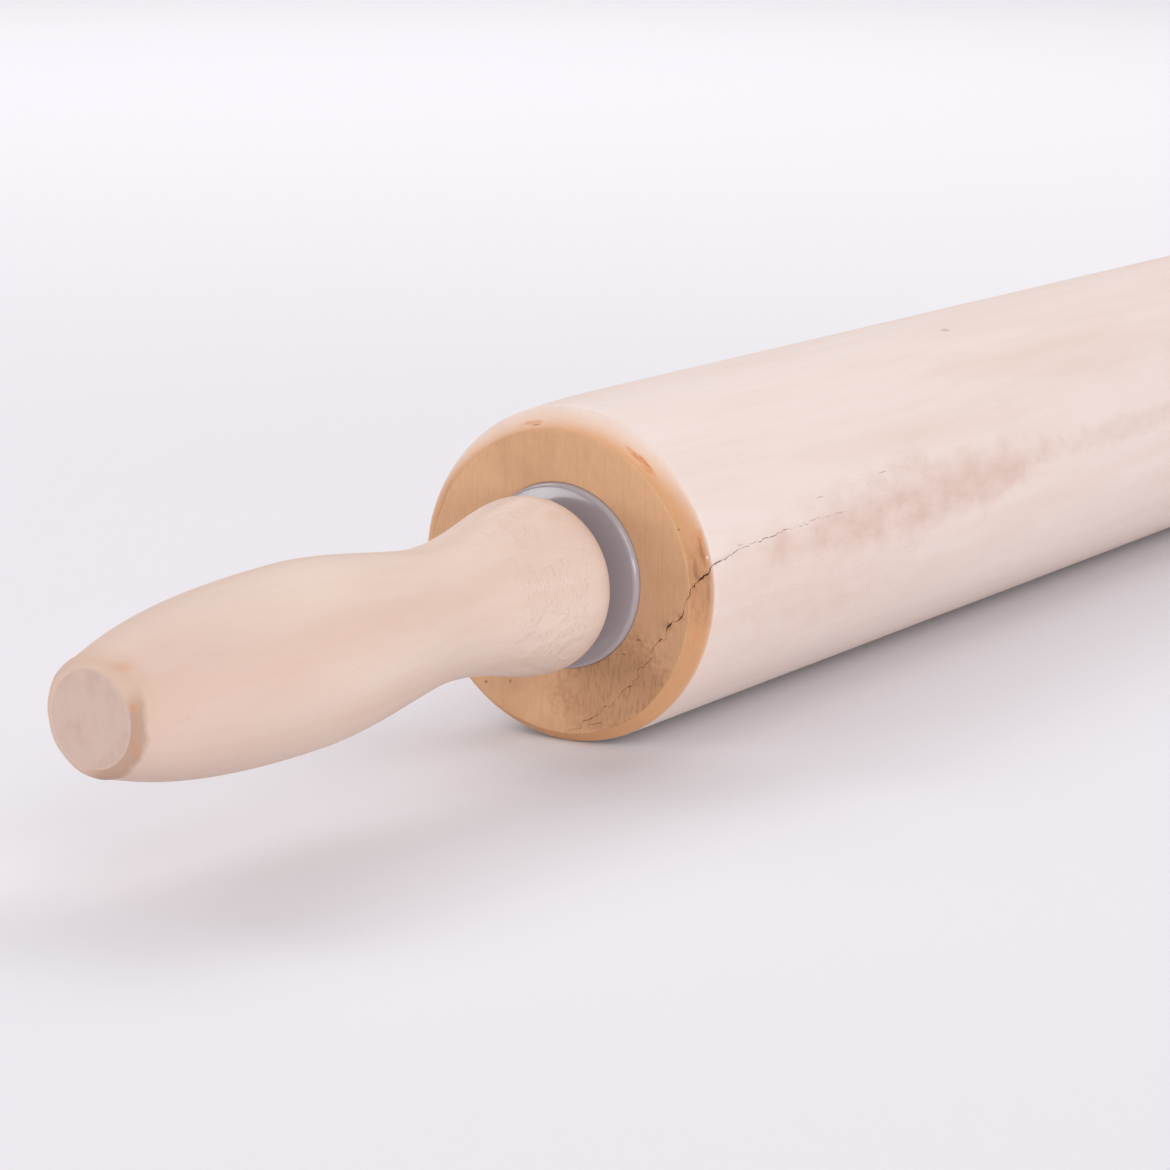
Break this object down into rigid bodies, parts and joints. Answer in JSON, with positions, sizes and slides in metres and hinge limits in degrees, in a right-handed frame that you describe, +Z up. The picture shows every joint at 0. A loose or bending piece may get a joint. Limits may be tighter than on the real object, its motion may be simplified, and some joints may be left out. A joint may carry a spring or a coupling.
{
  "type": "rolling pin",
  "caption": "Wooden barrel rolling pin: a cylindrical barrel in plastic bushes turns on a steel rod between turned handles.",
  "frame": {"origin": "on the table under the middle of the barrel", "axes": "+X along the pin from the left handle to the right one, +Z up from the table to the pin's axis"},
  "size_m": [0.4552, 0.05, 0.05],
  "materials": {
    "barrel_wood": "sanded bare wood, pale on the side and browner on the end grain",
    "bush_plastic": "glossy moulded grey plastic",
    "rod_steel": "drawn steel rod",
    "washer_steel": "stamped bright steel",
    "handle_wood": "turned and sanded bare wood"
  },
  "bodies": {
    "handles": {"axle_rod": "rod_steel", "washer_left": "washer_steel", "washer_right": "washer_steel", "handle_left": "handle_wood", "handle_right": "handle_wood"},
    "roller": {"barrel": "barrel_wood", "bush_left": "bush_plastic", "bush_right": "bush_plastic"}
  },
  "joints": [
    {"name": "roller_spin", "type": "hinge", "parent": "handles", "child": "roller", "pos_m": [0, 0, 0.025], "axis": [1, 0, 0], "continuous": true}
  ]
}
